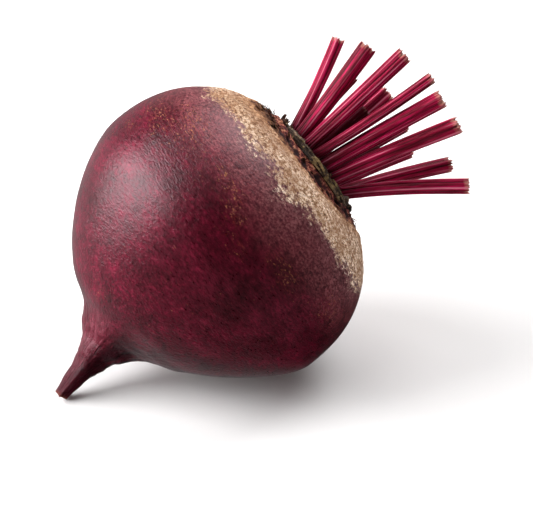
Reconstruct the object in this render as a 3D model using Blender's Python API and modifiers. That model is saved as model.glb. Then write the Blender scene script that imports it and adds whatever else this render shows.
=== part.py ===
"""A beetroot as bought: a round root lying on its side, with a ring of dried leaf bases at its
crown and its leaf stems cut short. Run it with: blender --background --python part.py

Metres, +Z up. The origin is the small flat spot that the root rests on. The root's axis leans
up towards +X, so the crown is at +X and the tail at -X."""

import math

import bmesh
import bpy
import numpy as np
from mathutils import Vector

MM = 0.001

# How the root lies: the lean of its axis above the table, and the place of its widest section.
AXIS_LEAN = math.radians(31.8)
CENTRE = (-9.5 * MM, -1.3 * MM, 41.6 * MM)

# The root, measured along its axis from the widest section, with the crown at positive heights.
ROOT_RADIUS = 46.2 * MM
CROWN_REACH = 39.9 * MM
CROWN_POWER = 2.38
TAIL_REACH = 43.0 * MM
TAIL_POWER = 1.17
TAIL_ROUNDING = 0.15
TAIL_START = -38.3 * MM
TAIL_END = -65.6 * MM
TAIL_TIP_RADIUS = 1.4 * MM
ROOT_SIDES = 56
CROWN_RINGS = 12
BELLY_RINGS = 11
TAIL_RINGS = 17

# Slow swells two and three times round the body, as shares of its radius, fading out at the crown.
SWELLS = ((2, 0.010), (3, 0.007))
SWELL_TURN = math.radians(147)
SWELL_END = 34.0 * MM
SWELL_FADE = 12.0 * MM

# Knobs along the tail: how many round it, how fast they turn along it, and their share of its
# radius.
KNOBS = ((3, 420.0, 0.05), (2, -760.0, 0.04))
KNOB_START = -32.3 * MM
KNOB_FADE = 14.0 * MM

# From BOW_START down, the root bows along an arc of BOW_RADIUS towards the turn BOW_TURN.
BOW_START = 6.0 * MM
BOW_RADIUS = 280.0 * MM
BOW_TURN = math.radians(-40.0)

# The crown: a shoulder with scars in it, a seat for the ring of leaf bases, and a low table inside
# the ring that the stems stand on. On one side the shoulder dips below the seat.
RIM_RADIUS = 18.2 * MM
RIM_STEP = 0.8 * MM
RIM_RINGS = 4
SCAR_COUNT = 14
SCAR_RADIUS = 19.8 * MM
SCAR_WIDTH = 0.9 * MM
SCAR_DEPTH = 0.5 * MM
DIP_DEPTH = 3.2 * MM
DIP_END = 29.0 * MM
DIP_TURN = math.radians(240)
DIP_SPREAD = math.radians(50)
SEAT_RADIUS = 17.2 * MM
SEAT_HEIGHT = 35.3 * MM
TABLE_RADIUS = 14.5 * MM
TABLE_HEIGHT = 35.9 * MM
TABLE_DOME = 0.7 * MM

# The ring of dried leaf bases, with lumps in it and torn flakes along its upper edge.
RING_INNER = 14.9 * MM
RING_OUTER = 17.0 * MM
RING_HEIGHT = 2.0 * MM
RING_EDGE = 0.4 * MM
RING_SIDES = 80
RING_LUMPS = ((11, 0.25 * MM), (23, 0.15 * MM))
FLAKE_COUNT = 26
FLAKE_HEIGHT = 1.9 * MM
FLAKE_OUTWARD = 0.35
FLAKE_HALF_WIDTHS = (5.0, 9.0)
FLAKE_SEED = 7

FIT_GAP = 0.35 * MM

# The cut stems: a rib's height is a share of the stem's half width, and so are how far the flatter
# inner side reaches and how deep the channel in it is.
STEM_SIDES = 24
STEM_RINGS = 7
STEM_RIBS = 6
STEM_RIB_DEPTH = 0.07
STEM_INNER_REACH = 0.62
STEM_INNER_SPREAD = math.radians(45)
STEM_CHANNEL_DEPTH = 0.35
STEM_CHANNEL_SPREAD = math.radians(24)
STEM_FOOT_SHARE = 0.70
STEM_FOOT_LIFT = 0.3
STEM_KNEE = 0.4
# Turns are degrees round the root's axis from its lowest side, towards +Y. The columns are: name,
# turn of the foot, foot's distance from the axis, lean at the foot, lean of the whole stem, turn
# that it leans to, length, width.
STEMS = (
    ("outer_stem_01", 167, 12.0, 23, 27.6, 153, 30.1, 4.5),
    ("outer_stem_02", 187, 11.9, 15, 17.7, 175, 33.0, 5.6),
    ("outer_stem_03", 207, 11.9, 10, 11.5, 207, 38.7, 5.0),
    ("outer_stem_04", 225, 12.0, 21, 10.5, 257, 40.4, 3.3),
    ("outer_stem_05", 243, 11.7, 11, 13.2, 273, 39.6, 5.2),
    ("outer_stem_06", 265, 11.9, 16, 19.2, 285, 39.9, 5.3),
    ("outer_stem_07", 307, 11.7, 28, 33.9, 317, 37.4, 5.2),
    ("outer_stem_08", 352, 11.7, 19, 23.0, 343, 35.8, 5.3),
    ("outer_stem_09", 17, 11.9, 16, 20.0, 18, 28.0, 4.8),
    ("outer_stem_10", 42, 12.0, 10, 13.0, 28, 31.0, 4.6),
    ("outer_stem_11", 67, 11.8, 12, 14.3, 75, 33.2, 4.7),
    ("outer_stem_12", 92, 12.0, 5, 6.0, 88, 25.0, 4.6),
    ("outer_stem_13", 117, 12.0, 10, 11.5, 117, 26.0, 4.6),
    ("outer_stem_14", 142, 12.0, 20, 25.0, 140, 24.0, 4.2),
    ("heart_stem_01", 200, 5.0, 4, 6.0, 200, 21.0, 4.2),
    ("heart_stem_02", 320, 5.0, 6, 9.0, 320, 18.0, 4.0),
    ("heart_stem_03", 80, 5.0, 5, 7.0, 80, 15.0, 4.0),
)


def material(name, colour, roughness):
    """A Principled BSDF of one colour."""
    made = bpy.data.materials.new(name)
    made.use_nodes = True
    shader = made.node_tree.nodes["Principled BSDF"]
    shader.inputs["Base Color"].default_value = (*colour, 1.0)
    shader.inputs["Metallic"].default_value = 0.0
    shader.inputs["Roughness"].default_value = roughness
    return made


def turned(name, profile, sides, shape, finish, closed=False):
    """Turns a profile of (radius, height) points about Z, then moves every point by the formula
    shape(radius, turn, height), which gives x, y and z. A closed profile makes a ring."""
    outline = bpy.data.meshes.new(name + "_outline")
    corners = [(radius, 0.0, height) for radius, height in profile]
    edges = [(i, i + 1) for i in range(len(corners) - 1)]
    if closed:
        edges.append((len(corners) - 1, 0))
    outline.from_pydata(corners, edges, [])
    lathe = bpy.data.objects.new(name + "_lathe", outline)
    bpy.context.scene.collection.objects.link(lathe)
    screw = lathe.modifiers.new("Turn", "SCREW")
    screw.axis = "Z"
    screw.steps = sides
    screw.render_steps = sides
    screw.use_merge_vertices = True
    screw.merge_threshold = 1e-6
    evaluated = lathe.evaluated_get(bpy.context.evaluated_depsgraph_get())
    mesh = bpy.data.meshes.new_from_object(evaluated)
    mesh.name = name
    bpy.data.objects.remove(lathe)
    bpy.data.meshes.remove(outline)
    points = np.empty(len(mesh.vertices) * 3)
    mesh.vertices.foreach_get("co", points)
    x, y, height = points.reshape(-1, 3).T
    moved = np.column_stack(shape(np.hypot(x, y), np.arctan2(y, x), height))
    mesh.vertices.foreach_set("co", moved.ravel())
    mesh.materials.append(finish)
    mesh.shade_smooth()
    return mesh


def turn_between(turn, middle):
    """How far a turn is from the middle one, the short way round."""
    return (turn - middle + math.pi) % (2 * math.pi) - math.pi


def oval_radius(height):
    """Two half ovals that meet at the widest section, the tail's one with a rounded start."""
    crown_share = np.clip(height / CROWN_REACH, 0.0, 1.0)
    tail_share = np.clip(-height / TAIL_REACH, 0.0, 1.0)
    rounded = np.hypot(tail_share, TAIL_ROUNDING) - TAIL_ROUNDING
    tail_share = rounded / (math.hypot(1.0, TAIL_ROUNDING) - TAIL_ROUNDING)
    return ROOT_RADIUS * np.sqrt(1.0 - crown_share**CROWN_POWER - tail_share**TAIL_POWER)


def root_radius(height):
    """The ovals, and below TAIL_START an exponential fall from their slope to the tail's tip."""
    start = float(oval_radius(TAIL_START))
    step = 0.01 * MM
    slope = (float(oval_radius(TAIL_START + step)) - start) / step
    fade = (start - TAIL_TIP_RADIUS) / slope
    fall = np.exp(np.minimum(height - TAIL_START, 0.0) / fade)
    tail = TAIL_TIP_RADIUS + (start - TAIL_TIP_RADIUS) * fall
    return np.where(height < TAIL_START, tail, oval_radius(height))


def shoulder_height(radius):
    """The height at which the crown's half oval has this radius."""
    return CROWN_REACH * (1.0 - (radius / ROOT_RADIUS) ** 2) ** (1.0 / CROWN_POWER)


def root_profile():
    """The root's outline from the middle of the crown table down to the tip of the tail."""
    rim = [shoulder_height(RIM_RADIUS + RIM_STEP * step) for step in range(RIM_RINGS)]
    start = math.acos(shoulder_height(RIM_RADIUS + RIM_STEP * (RIM_RINGS + 1)) / CROWN_REACH)
    crown = list(CROWN_REACH * np.cos(np.linspace(start, math.pi / 2, CROWN_RINGS)))
    end = math.acos(TAIL_START / TAIL_REACH)
    belly = list(TAIL_REACH * np.cos(np.linspace(math.pi / 2, end, BELLY_RINGS + 1)[1:]))
    tail = list(np.linspace(TAIL_START, TAIL_END, TAIL_RINGS + 1)[1:])
    heights = rim + crown + belly + tail
    side = [(float(root_radius(height)), float(height)) for height in heights]
    top = [
        (0.0, TABLE_HEIGHT + TABLE_DOME),
        (0.55 * TABLE_RADIUS, TABLE_HEIGHT + 0.7 * TABLE_DOME),
        (TABLE_RADIUS - 0.4 * MM, TABLE_HEIGHT),
        (TABLE_RADIUS, TABLE_HEIGHT - 0.2 * MM),
        (TABLE_RADIUS, SEAT_HEIGHT),
        (SEAT_RADIUS, SEAT_HEIGHT),
    ]
    return top + side + [(0.0, TAIL_END - 0.4 * MM)]


def bowed(x, y, height):
    """Bows everything below BOW_START along the arc."""
    angle = np.maximum(BOW_START - height, 0.0) / BOW_RADIUS
    towards = x * math.cos(BOW_TURN) + y * math.sin(BOW_TURN)
    aside = y * math.cos(BOW_TURN) - x * math.sin(BOW_TURN)
    along = BOW_RADIUS * (1.0 - np.cos(angle)) + towards * np.cos(angle)
    new_x = along * math.cos(BOW_TURN) - aside * math.sin(BOW_TURN)
    new_y = along * math.sin(BOW_TURN) + aside * math.cos(BOW_TURN)
    new_height = np.maximum(height, BOW_START) - (BOW_RADIUS - towards) * np.sin(angle)
    return new_x, new_y, new_height


def swollen(radius, turn, height):
    """The radius with the body's swells and the tail's knobs."""
    body = np.clip((SWELL_END - height) / SWELL_FADE, 0.0, 1.0)
    tail = np.clip((KNOB_START - height) / KNOB_FADE, 0.0, 1.0)
    growth = np.ones_like(radius)
    for count, share in SWELLS:
        growth += share * body * np.sin(count * (turn - SWELL_TURN))
    for count, twist, share in KNOBS:
        growth += share * tail * np.sin(count * turn + twist * height)
    return radius * growth


def crown_drop(radius, turn, height):
    """How far the crown's dip and scars lower a point of it."""
    crown = np.clip((height - DIP_END) / (SEAT_HEIGHT - DIP_END), 0.0, 1.0)
    outside = np.clip((radius - SEAT_RADIUS) / (RIM_RADIUS - SEAT_RADIUS), 0.0, 1.0)
    side = np.exp(-((turn_between(turn, DIP_TURN) / DIP_SPREAD) ** 2))
    band = np.exp(-(((radius - SCAR_RADIUS) / SCAR_WIDTH) ** 2)) * (height > 0.0)
    scars = 0.5 + 0.5 * np.cos(SCAR_COUNT * turn + 1.5 * np.sin(3 * turn))
    return DIP_DEPTH * crown * outside * side + SCAR_DEPTH * band * scars


def root_shape(radius, turn, height):
    """The swollen outline, with the crown's dip and scars, bowed."""
    wide = swollen(radius, turn, height)
    lowered = height - crown_drop(radius, turn, height)
    return bowed(wide * np.cos(turn), wide * np.sin(turn), lowered)


def make_root(finish):
    """The swollen root with its tail, cut by the table plane where it rests."""
    mesh = turned("root", root_profile(), ROOT_SIDES, root_shape, finish)
    shape = bmesh.new()
    shape.from_mesh(mesh)
    down = Vector((math.cos(AXIS_LEAN), 0.0, -math.sin(AXIS_LEAN)))
    cut = bmesh.ops.bisect_plane(
        shape,
        geom=shape.verts[:] + shape.edges[:] + shape.faces[:],
        plane_co=down * CENTRE[2],
        plane_no=down,
        clear_outer=True,
    )
    rims = [item for item in cut["geom_cut"] if isinstance(item, bmesh.types.BMEdge)]
    for face in bmesh.ops.holes_fill(shape, edges=rims)["faces"]:
        face.smooth = False
    shape.to_mesh(mesh)
    shape.free()
    return mesh


def ring_profile():
    """The closed section of the leaf-base ring, down its outer side and up its inner side."""
    low = SEAT_HEIGHT + FIT_GAP
    top = low + RING_HEIGHT
    return [
        (RING_OUTER - RING_EDGE, top - 0.25 * RING_EDGE),
        (RING_OUTER, low + 0.6 * RING_HEIGHT),
        (RING_OUTER, low + 0.2 * RING_HEIGHT),
        (RING_OUTER - RING_EDGE, low),
        (RING_INNER + 0.5 * RING_EDGE, low),
        (RING_INNER, low + 0.3 * RING_HEIGHT),
        (RING_INNER + 0.5 * RING_EDGE, low + 0.75 * RING_HEIGHT),
        (RING_INNER + 2.5 * RING_EDGE, top),
    ]


def torn_flakes(turn):
    """The height of the torn flakes, each a narrow tooth at its own turn."""
    random = np.random.default_rng(FLAKE_SEED)
    tooth = np.zeros_like(turn)
    for number in range(FLAKE_COUNT):
        middle = 2 * math.pi * (number + random.uniform(-0.3, 0.3)) / FLAKE_COUNT
        tall = FLAKE_HEIGHT * random.uniform(0.1, 1.0) ** 1.5
        half_width = math.radians(random.uniform(*FLAKE_HALF_WIDTHS))
        apart = np.abs(turn_between(turn, middle))
        tooth = np.maximum(tooth, tall * np.clip(1.0 - apart / half_width, 0.0, 1.0))
    return tooth


def ring_shape(radius, turn, height):
    """Raises the flakes and lumps from the ring's upper edge, and pushes its outer side out."""
    share = (height - SEAT_HEIGHT - FIT_GAP) / RING_HEIGHT
    tooth = torn_flakes(turn)
    lumps = sum(size * np.sin(count * turn) for count, size in RING_LUMPS)
    raised = height + share**2 * (tooth + lumps)
    outer = radius > 0.5 * (RING_INNER + RING_OUTER)
    pushed = radius + np.where(outer, FLAKE_OUTWARD * tooth * share + 0.5 * lumps, 0.0)
    return pushed * np.cos(turn), pushed * np.sin(turn), raised


def make_ring(finish):
    """The dark ring of dried leaf bases round the foot of the stems."""
    return turned("leaf_base_ring", ring_profile(), RING_SIDES, ring_shape, finish, closed=True)


def stem_section(radius, turn):
    """The ribbed section of a stem, one wide: round outside, flatter inside, with a channel."""
    rib = 1.0 + STEM_RIB_DEPTH * np.cos(STEM_RIBS * turn)
    from_channel = math.pi - np.abs(turn)
    behind = np.clip((math.pi / 2 - from_channel) / STEM_INNER_SPREAD, 0.0, 1.0)
    channel = STEM_CHANNEL_DEPTH * np.exp(-((from_channel / STEM_CHANNEL_SPREAD) ** 2))
    inside = channel - STEM_INNER_REACH * behind
    outward = np.where(np.cos(turn) > 0.0, np.cos(turn), inside)
    return 0.5 * radius * rib * outward, 0.5 * radius * rib * np.sin(turn)


def make_stem(name, foot_lean, lean, length, width, finish):
    """A cut leaf stem, wider upwards, that curves from its foot's lean to the lean of the whole.
    It leans towards +X and its channel faces -X."""
    foot_lean = math.radians(foot_lean)
    lean = math.radians(lean)
    knee = STEM_KNEE * length * MM * np.array((math.sin(foot_lean), math.cos(foot_lean)))
    tip = length * MM * np.array((math.sin(lean), math.cos(lean)))

    def shape(radius, turn, height):
        outward, across = stem_section(radius, turn)
        wide = width * MM * (STEM_FOOT_SHARE + (1.0 - STEM_FOOT_SHARE) * np.sqrt(height))
        x, z = np.outer(knee, 2 * height * (1.0 - height)) + np.outer(tip, height**2)
        run, rise = np.outer(knee, 1.0 - 2 * height) + np.outer(tip, height)
        size = np.hypot(run, rise)
        out = wide * outward
        return x + out * rise / size, wide * across, z - out * run / size

    side = [(1.0, height) for height in np.linspace(1.0, 0.0, STEM_RINGS)]
    return turned(name, [(0.0, 1.0)] + side + [(0.0, 0.0)], STEM_SIDES, shape, finish)


def place(name, mesh, collection, parent, location=(0.0, 0.0, 0.0), turn=0.0):
    """Puts a mesh into the collection under its own name, on the root's axis."""
    obj = bpy.data.objects.new(name, mesh)
    collection.objects.link(obj)
    obj.parent = parent
    obj.location = location
    obj.rotation_euler = (0.0, 0.0, turn)


def place_stems(collection, parent, finish):
    """The cut stems of the table, each foot lifted so that its tilt keeps it off the crown."""
    for name, foot_turn, foot_distance, foot_lean, lean, lean_turn, length, width in STEMS:
        mesh = make_stem(name, foot_lean, lean, length, width, finish)
        lift = STEM_FOOT_LIFT * width * MM * math.sin(math.radians(foot_lean))
        foot_height = TABLE_HEIGHT + TABLE_DOME + FIT_GAP + lift
        foot_turn = math.radians(foot_turn)
        reach = foot_distance * MM
        foot = (reach * math.cos(foot_turn), reach * math.sin(foot_turn), foot_height)
        place(name, mesh, collection, parent, foot, math.radians(lean_turn))


def main():
    for obj in list(bpy.data.objects):
        bpy.data.objects.remove(obj)
    collection = bpy.data.collections.new("beetroot")
    bpy.context.scene.collection.children.link(collection)
    axis = bpy.data.objects.new("root_axis", None)
    collection.objects.link(axis)
    axis.location = CENTRE
    axis.rotation_euler = (0.0, math.pi / 2 - AXIS_LEAN, 0.0)

    skin = material("beet_skin", (0.19, 0.022, 0.045), 0.45)
    dried = material("dried_leaf_base", (0.11, 0.075, 0.035), 0.85)
    flesh = material("stem_crimson", (0.38, 0.006, 0.07), 0.35)

    place("root", make_root(skin), collection, axis)
    place("leaf_base_ring", make_ring(dried), collection, axis)
    place_stems(collection, axis, flesh)


main()
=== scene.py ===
"""The looks of the beetroot: its skin, its corky shoulder, the dried leaf bases and the cut stems.

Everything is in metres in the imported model's own frame. Lengths below are in millimetres, and
become metres where points go into a mesh. Turns run round the root's axis from its lowest side."""

import math

import bpy
import numpy as np
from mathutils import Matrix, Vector


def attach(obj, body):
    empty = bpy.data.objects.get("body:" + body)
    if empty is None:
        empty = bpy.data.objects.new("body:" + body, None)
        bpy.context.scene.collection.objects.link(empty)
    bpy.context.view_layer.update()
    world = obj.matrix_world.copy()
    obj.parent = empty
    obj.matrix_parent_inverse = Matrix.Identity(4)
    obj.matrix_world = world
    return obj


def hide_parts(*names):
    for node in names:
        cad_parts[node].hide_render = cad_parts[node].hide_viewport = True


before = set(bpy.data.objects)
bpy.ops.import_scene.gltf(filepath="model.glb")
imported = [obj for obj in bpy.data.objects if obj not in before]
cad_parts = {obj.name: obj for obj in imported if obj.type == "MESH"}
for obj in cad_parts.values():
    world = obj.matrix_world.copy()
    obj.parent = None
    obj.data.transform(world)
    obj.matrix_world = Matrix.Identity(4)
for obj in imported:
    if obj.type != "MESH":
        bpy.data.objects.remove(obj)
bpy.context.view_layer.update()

MM = 0.001
TURN = 2.0 * math.pi

# How the root lies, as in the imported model: the lean of its axis and the middle of its widest
# section.
AXIS_LEAN = math.radians(31.8)
CENTRE = np.array((-9.5, -1.3, 41.6))
AXIS = np.array((math.cos(AXIS_LEAN), 0.0, math.sin(AXIS_LEAN)))
LOWEST_SIDE = np.array((math.sin(AXIS_LEAN), 0.0, -math.cos(AXIS_LEAN)))
LEVEL_SIDE = np.array((0.0, 1.0, 0.0))

# The root's outline along its axis, from the widest section, with the crown at positive heights.
ROOT_RADIUS = 46.2
CROWN_REACH = 39.9
CROWN_POWER = 2.38
TAIL_REACH = 43.0
TAIL_POWER = 1.17
TAIL_ROUNDING = 0.15
TAIL_START = -38.3
TAIL_END = -65.6
TAIL_TIP_RADIUS = 1.4
SWELLS = ((2, 0.010), (3, 0.007))
SWELL_TURN = math.radians(147)
SWELL_END = 34.0
SWELL_FADE = 12.0
KNOBS = ((3, 0.420, 0.05), (2, -0.760, 0.04))
KNOB_START = -32.3
KNOB_FADE = 14.0
BOW_START = 6.0
BOW_RADIUS = 280.0
BOW_TURN = math.radians(-40.0)

# The crown, its scars, and the seat of the ring.
RIM_RADIUS = 18.2
SCAR_COUNT = 14
SCAR_RADIUS = 19.8
SCAR_WIDTH = 0.9
SCAR_DEPTH = 0.5
DIP_DEPTH = 3.2
DIP_END = 29.0
DIP_TURN = math.radians(240)
DIP_SPREAD = math.radians(50)
SEAT_RADIUS = 17.2
SEAT_HEIGHT = 35.3
TABLE_RADIUS = 14.5
TABLE_HEIGHT = 35.9
TABLE_DOME = 0.7
RING_INNER = 14.9
RING_OUTER = 17.0
RING_HEIGHT = 2.0
FIT_GAP = 0.35

# The stems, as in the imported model: turn of the foot, foot's distance from the axis, lean at the
# foot, lean of the whole stem, turn that it leans to, length, width. Turns and leans in degrees.
STEM_FOOT_SHARE = 0.70
STEM_FOOT_LIFT = 0.3
STEM_KNEE = 0.4
STEM_RIBS = 6
STEMS = {
    "outer_stem_01": (167, 12.0, 23, 27.6, 153, 30.1, 4.5),
    "outer_stem_02": (187, 11.9, 15, 17.7, 175, 33.0, 5.6),
    "outer_stem_03": (207, 11.9, 10, 11.5, 207, 38.7, 5.0),
    "outer_stem_04": (225, 12.0, 21, 10.5, 257, 40.4, 3.3),
    "outer_stem_05": (243, 11.7, 11, 13.2, 273, 39.6, 5.2),
    "outer_stem_06": (265, 11.9, 16, 19.2, 285, 39.9, 5.3),
    "outer_stem_07": (307, 11.7, 28, 33.9, 317, 37.4, 5.2),
    "outer_stem_08": (352, 11.7, 19, 23.0, 343, 35.8, 5.3),
    "outer_stem_09": (17, 11.9, 16, 20.0, 18, 28.0, 4.8),
    "outer_stem_10": (42, 12.0, 10, 13.0, 28, 31.0, 4.6),
    "outer_stem_11": (67, 11.8, 12, 14.3, 75, 33.2, 4.7),
    "outer_stem_12": (92, 12.0, 5, 6.0, 88, 25.0, 4.6),
    "outer_stem_13": (117, 12.0, 10, 11.5, 117, 26.0, 4.6),
    "outer_stem_14": (142, 12.0, 20, 25.0, 140, 24.0, 4.2),
    "heart_stem_01": (200, 5.0, 4, 6.0, 200, 21.0, 4.2),
    "heart_stem_02": (320, 5.0, 6, 9.0, 320, 18.0, 4.0),
    "heart_stem_03": (80, 5.0, 5, 7.0, 80, 15.0, 4.0),
}

# The cork on the shoulder: the radii of its edges and their wandering, and where it draws back.
CORK_INNER = 37.6
CORK_FADE = 4.5
CORK_OUTER = 24.6
CORK_NEAR_DIP = 0.9
CORK_RETREAT = 5.5
CORK_RETREAT_TURN = math.radians(185)
CORK_RETREAT_SPREAD = math.radians(28)
INNER_WANDER = ((1.3, 9.0, 1), (1.1, 3.4, 2), (0.7, 1.5, 3))
OUTER_WANDER = ((0.80, 2.9, 4), (0.70, 1.5, 5))

# Patches of cork flecks on the skin, and where the skin is flushed redder or is darker. On the
# near side the redder places are painted light where the lamps fall and the darker ones are painted
# shade on the sides turned from them, the tail's lit ridge and shaded facet among them; on the far
# side they are tone that differs at random. Turn in degrees, height, half length round the body,
# half length along it, strength.
CORK_PATCHES = (
    (181, 9, 8, 2.4, 0.9),
    (191, 16, 10, 2.6, 0.9),
    (187, 9, 24, 7.0, 0.55),
    (177, 1, 6, 1.8, 0.8),
    (198, 13, 7, 2.0, 0.9),
    (220, 13, 4, 2.4, 0.9),
    (227, 12, 5, 2.8, 0.9),
    (233, 9, 5, 2.6, 0.8),
    (241, 4, 6, 3.0, 0.6),
    (262, 10, 9, 3.4, 0.8),
    (290, 14, 8, 4.0, 0.8),
    (330, 6, 8, 5.0, 0.7),
    (25, 15, 9, 4.0, 0.9),
    (70, 8, 8, 4.0, 0.8),
    (115, 14, 9, 4.0, 0.9),
    (145, 4, 8, 4.0, 0.7),
    (210, -34, 4, 3.0, 0.4),
)
# Redder places: on the near side, painted light where the lamps fall.
FLUSHES_AND_PAINTED_LIGHT = (
    (203, -22, 12, 8, 0.5),
    (203, -4, 18, 12, 0.7),
    (172, -4, 14, 14, 0.4),
    (226, -26, 12, 6, 0.4),
    (212, -50, 5, 14, 0.6),
    (300, -8, 18, 14, 0.6),
    (40, -6, 18, 16, 0.7),
    (105, 6, 16, 12, 0.6),
)
# Darker places: on the near side, painted shade on the sides turned from the lamps and on the tail's
# facet.
DARK_PATCHES_AND_PAINTED_SHADE = (
    (234, -4, 16, 12, 1.0),
    (190, 10, 16, 7, 0.5),
    (262, -12, 16, 10, 0.6),
    (270, -50, 7, 16, 1.2),
    (345, 4, 16, 10, 0.6),
    (75, -12, 14, 12, 0.6),
    (140, 2, 12, 12, 0.5),
)
TAIL_RIDGE = math.radians(233)
TAIL_FACET = TAIL_RIDGE + 0.80

# The pits of the scar band and the dried leaf bases. Prongs: turn in degrees, length, width, lean.
PIT_COUNT = 34
STRAP_LEVELS = (0.45, 1.15, 1.80)
STRAPS = 22
FLAKES = 80
FLAKE_THICKNESS = 0.16
TUFT_TURN = math.radians(172)
SCALES = 26
SCALES_TURN = math.radians(176)
PRONGS = ((168.0, 2.7, 1.1, 0.95), (175.0, 2.0, 1.4, 0.75), (172.0, 1.4, 2.2, 1.30))
PRONG_THICKNESS = 1.7

# How many points the grids have.
COLUMNS = 400
RING_COLUMNS = 640
RING_ROWS = 28
STRAP_GRID = (22, 14)
FLAKE_GRID = (9, 12)
STEM_COLUMNS = 96
STEM_ROWS = 64
CUT_SHARES = (0.12, 0.3, 0.5, 0.66, 0.8, 0.9, 0.96)

# Colours at places along a pattern, dark to light.
WHITE = (1.0, 1.0, 1.0)
RED_TONES = (
    (0.30, (0.031, 0.0008, 0.0038)),
    (0.48, (0.054, 0.0011, 0.0072)),
    (0.64, (0.087, 0.0017, 0.0122)),
    (0.80, (0.125, 0.0028, 0.0190)),
)
# The mauve tones are a painted sheen towards the shoulder.
MAUVE_SHEEN_TONES = ((0.36, (0.080, 0.009, 0.015)), (0.64, (0.290, 0.070, 0.078)))
DUSTY_TONES = ((0.36, (0.090, 0.032, 0.038)), (0.64, (0.310, 0.150, 0.150)))
OCHRE_TONES = ((0.35, (0.20, 0.045, 0.020)), (0.65, (0.44, 0.175, 0.075)))
CORK_TONES = (
    (0.35, (0.070, 0.024, 0.011)),
    (0.43, (0.260, 0.120, 0.053)),
    (0.50, (0.600, 0.380, 0.235)),
    (0.57, (0.990, 0.800, 0.640)),
)
LIP_TONES = (
    (0.38, (0.050, 0.018, 0.009)),
    (0.46, (0.260, 0.105, 0.040)),
    (0.58, (0.700, 0.400, 0.200)),
)
RAW_TONES = (
    (0.42, (0.020, 0.003, 0.004)),
    (0.48, (0.110, 0.012, 0.015)),
    (0.54, (0.400, 0.110, 0.070)),
    (0.62, (0.680, 0.340, 0.190)),
)
SCALY_TONES = (
    (0.38, (0.022, 0.009, 0.007)),
    (0.48, (0.130, 0.050, 0.024)),
    (0.60, (0.420, 0.200, 0.090)),
)
TABLE_TONES = (
    (0.38, (0.022, 0.002, 0.005)),
    (0.48, (0.110, 0.005, 0.018)),
    (0.58, (0.240, 0.022, 0.045)),
    (0.68, (0.400, 0.190, 0.100)),
)
TAIL_TONES = (
    (0.36, (0.020, 0.0008, 0.0034)),
    (0.50, (0.080, 0.0030, 0.0110)),
    (0.64, (0.175, 0.0380, 0.0560)),
)
TIP_TONES = ((0.3, (0.07, 0.012, 0.010)), (0.65, (0.26, 0.075, 0.045)))
BASE_TONES = (
    (0.26, (0.010, 0.006, 0.005)),
    (0.42, (0.038, 0.023, 0.017)),
    (0.56, (0.100, 0.064, 0.044)),
    (0.70, (0.250, 0.175, 0.120)),
)
BASE_BITS = ((0.38, (0.16, 0.092, 0.035)), (0.62, (0.46, 0.31, 0.13)))
SCALE_TONES = (
    (0.26, (0.014, 0.005, 0.004)),
    (0.42, (0.075, 0.030, 0.015)),
    (0.56, (0.210, 0.095, 0.043)),
    (0.70, (0.420, 0.220, 0.105)),
)
SCALE_BITS = ((0.38, (0.20, 0.09, 0.04)), (0.62, (0.46, 0.26, 0.12)))
CRACK_TONES = ((0.36, (0.22, 0.20, 0.20)), (0.52, WHITE), (0.66, (2.0, 1.8, 1.5)))
STEM_TONES = (
    (0.34, (0.105, 0.0004, 0.009)),
    (0.50, (0.225, 0.0009, 0.024)),
    (0.66, (0.400, 0.0026, 0.052)),
)
STREAK_TONES = ((0.34, (0.36, 0.30, 0.36)), (0.50, WHITE), (0.66, (1.45, 1.9, 1.8)))
# Darker towards the stems' feet: painted shade where the stems crowd together.
FOOT_PAINTED_SHADE_TONES = ((0.0, (0.42, 0.34, 0.38)), (0.40, WHITE))
PITH_TONES = (
    (0.12, (0.200, 0.010, 0.035)),
    (0.34, (0.480, 0.150, 0.140)),
    (0.62, (0.640, 0.380, 0.290)),
)
CRUMB_TONES = ((0.36, (0.62, 0.52, 0.52)), (0.62, (1.15, 1.15, 1.10)))
FLOOR_TONES = ((0.3, (0.74, 0.735, 0.735)), (0.7, (0.77, 0.765, 0.765)))
# The floor's glow: pink near the root, painted bounce light, and white far away.
FLOOR_GLOW_TONES = ((0.06, (1.0, 0.80, 0.79)), (0.30, WHITE))

# How bright the room is on its dark side and its bright side in gloss, and as fill. To the camera
# it looks white. The floor's glow grows between two distances from the root, in metres; near the
# root it is faint and pink, painted bounce light from the red root in the shadows.
ROOM_BRIGHT_SIDE = (-0.55, 0.75, -0.36)
ROOM_DARK = 0.006
ROOM_BRIGHT = 0.55
ROOM_FILL = 0.10
FLOOR_HALF = 3.0
FLOOR_GLOW_START = 0.40
FLOOR_GLOW_END = 1.30

# The soft square lamps: direction from the root, distance and side in metres, power in watts.
LAMPED_HEIGHT = 0.045
LAMPS = {
    "left_softbox": ((-0.83, 0.22, 0.45), 0.80, 0.70, 18.0),
    "front_softbox": ((-0.51, -0.25, 0.82), 0.90, 0.50, 0.9),
    "right_softbox": ((0.50, 0.30, 0.81), 1.10, 0.85, 15.0),
}

# The camera, fitted to the outline in the photo.
CAMERA_PLACE = (-128.73, -372.29, 249.65)
CAMERA_BACK = (-0.29972, -0.82347, 0.48175)
CAMERA_LENS = 100.0


def unit(vectors):
    """Every vector divided by its own length."""
    return vectors / np.maximum(np.linalg.norm(vectors, axis=-1, keepdims=True), 1e-12)


def smooth_step(value, low, high):
    """From 0 at low to 1 at high, level at both ends: 3s^2 - 2s^3 of the share s between them."""
    share = np.clip((value - low) / (high - low), 0.0, 1.0)
    return share * share * (3.0 - 2.0 * share)


def bell(offset, width):
    """1 in the middle, falling away on both sides: e to the power of -(offset / width)^2."""
    return np.exp(-((offset / width) ** 2))


def turn_between(turn, middle):
    """How far a turn is from the middle one, the short way round."""
    return (turn - middle + math.pi) % TURN - math.pi


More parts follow.
